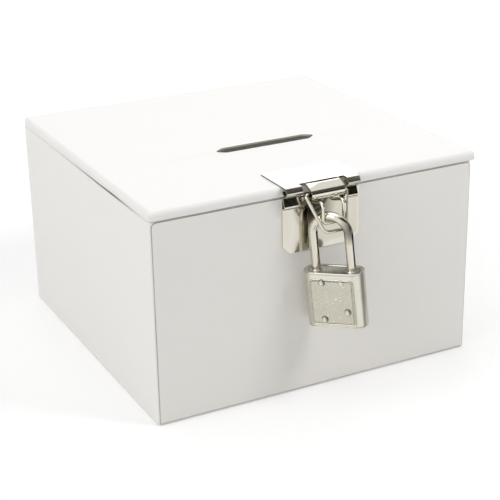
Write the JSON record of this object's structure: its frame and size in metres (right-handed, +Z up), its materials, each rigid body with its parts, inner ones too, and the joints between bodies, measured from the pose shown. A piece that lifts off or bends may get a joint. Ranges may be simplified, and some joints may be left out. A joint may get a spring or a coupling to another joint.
{
  "type": "donation box",
  "caption": "White paper-covered board box with a hinged lid, a metal-rimmed money slot, and a wire hasp held shut by a small padlock.",
  "frame": {"origin": "middle of the box's base, on the surface that it stands on", "axes": "+Z up, +X to the right along the front, +Y from the front to the hinge"},
  "size_m": [0.2033, 0.233, 0.1241],
  "materials": {
    "greyboard": "grey board",
    "white_paper": "smooth white covering paper",
    "lining_paper": "matt white paper",
    "hinge_cloth": "white book cloth",
    "nickel_plate": "bright nickel plate",
    "nickel_wire": "bright nickel wire",
    "zinc_sheet": "zinc plated sheet",
    "shackle_steel": "bright plated steel",
    "lock_nickel": "satin nickel plate with a pebbled face",
    "rivet_nickel": "bright domed rivets",
    "lock_brass": "machined brass",
    "lock_steel": "plain steel"
  },
  "bodies": {
    "box": {"bottom_board": "greyboard", "front_board": "greyboard", "rear_board": "greyboard", "left_board": "greyboard", "right_board": "greyboard", "outer_wrap": "white_paper", "front_facing": "white_paper", "under_sheet": "lining_paper", "inner_lining": "lining_paper", "hinge_leaf_wall": "hinge_cloth", "base_plate": "nickel_plate", "base_backing_plate": "zinc_sheet", "staple_wire": "nickel_wire"},
    "lid": {"lid_board": "greyboard", "lid_wrap": "white_paper", "lid_lining": "lining_paper", "slot_bezel": "nickel_plate", "slot_clinch_ring": "zinc_sheet", "hinge_leaf_lid": "hinge_cloth", "lid_plate": "nickel_plate", "lid_backing_plate": "zinc_sheet"},
    "bail": {"bail_wire": "nickel_wire"},
    "shackle": {"shackle": "shackle_steel"},
    "lock_body": {"lock_case": "lock_nickel", "lock_top_plate": "lock_nickel", "lock_bottom_plate": "lock_nickel", "lock_face_front": "lock_nickel", "lock_face_rear": "lock_nickel", "lock_rivets": "rivet_nickel", "lock_core": "lock_brass", "heel_pin": "lock_steel", "shackle_spring": "lock_steel", "driver_pins": "lock_brass", "driver_springs": "lock_steel"},
    "lock_plug": {"lock_plug": "lock_brass", "key_pins": "lock_brass"},
    "lock_bolt": {"locking_bolt": "lock_steel"}
  },
  "joints": [
    {"name": "lid_hinge", "type": "hinge", "parent": "box", "child": "lid", "pos_m": [0, 0.1002, 0.11815], "axis": [-1, 0, 0], "range_deg": [0, 110]},
    {"name": "bail_swing", "type": "hinge", "parent": "lid", "child": "bail", "pos_m": [0.0004, -0.10593, 0.11883], "axis": [1, 0, 0], "range_deg": [0, 50]},
    {"name": "padlock_swing", "type": "hinge", "parent": "box", "child": "shackle", "pos_m": [0.0004, -0.11393, 0.1041], "axis": [-1, 0, 0], "range_deg": [0, 50]},
    {"name": "padlock_release", "type": "slide", "parent": "shackle", "child": "lock_body", "axis": [0.063, -0.0767, -0.9951], "range_m": [0, 0.0075]},
    {"name": "plug_turn", "type": "hinge", "parent": "lock_body", "child": "lock_plug", "pos_m": [0.00228, -0.11817, 0.0576], "axis": [0.063, -0.0767, -0.9951], "range_deg": [0, 90]},
    {"name": "bolt_slide", "type": "slide", "parent": "lock_body", "child": "lock_bolt", "axis": [-0.6316, 0.7689, -0.0993], "range_m": [0, 0.0044]}
  ],
  "couplings": [
    {"joint": "bail_swing", "follows": "lid_hinge", "ratio": 0.45},
    {"joint": "plug_turn", "follows": "padlock_release", "rad_per_m": 209.4},
    {"joint": "bolt_slide", "follows": "padlock_release", "ratio": 0.5866}
  ]
}
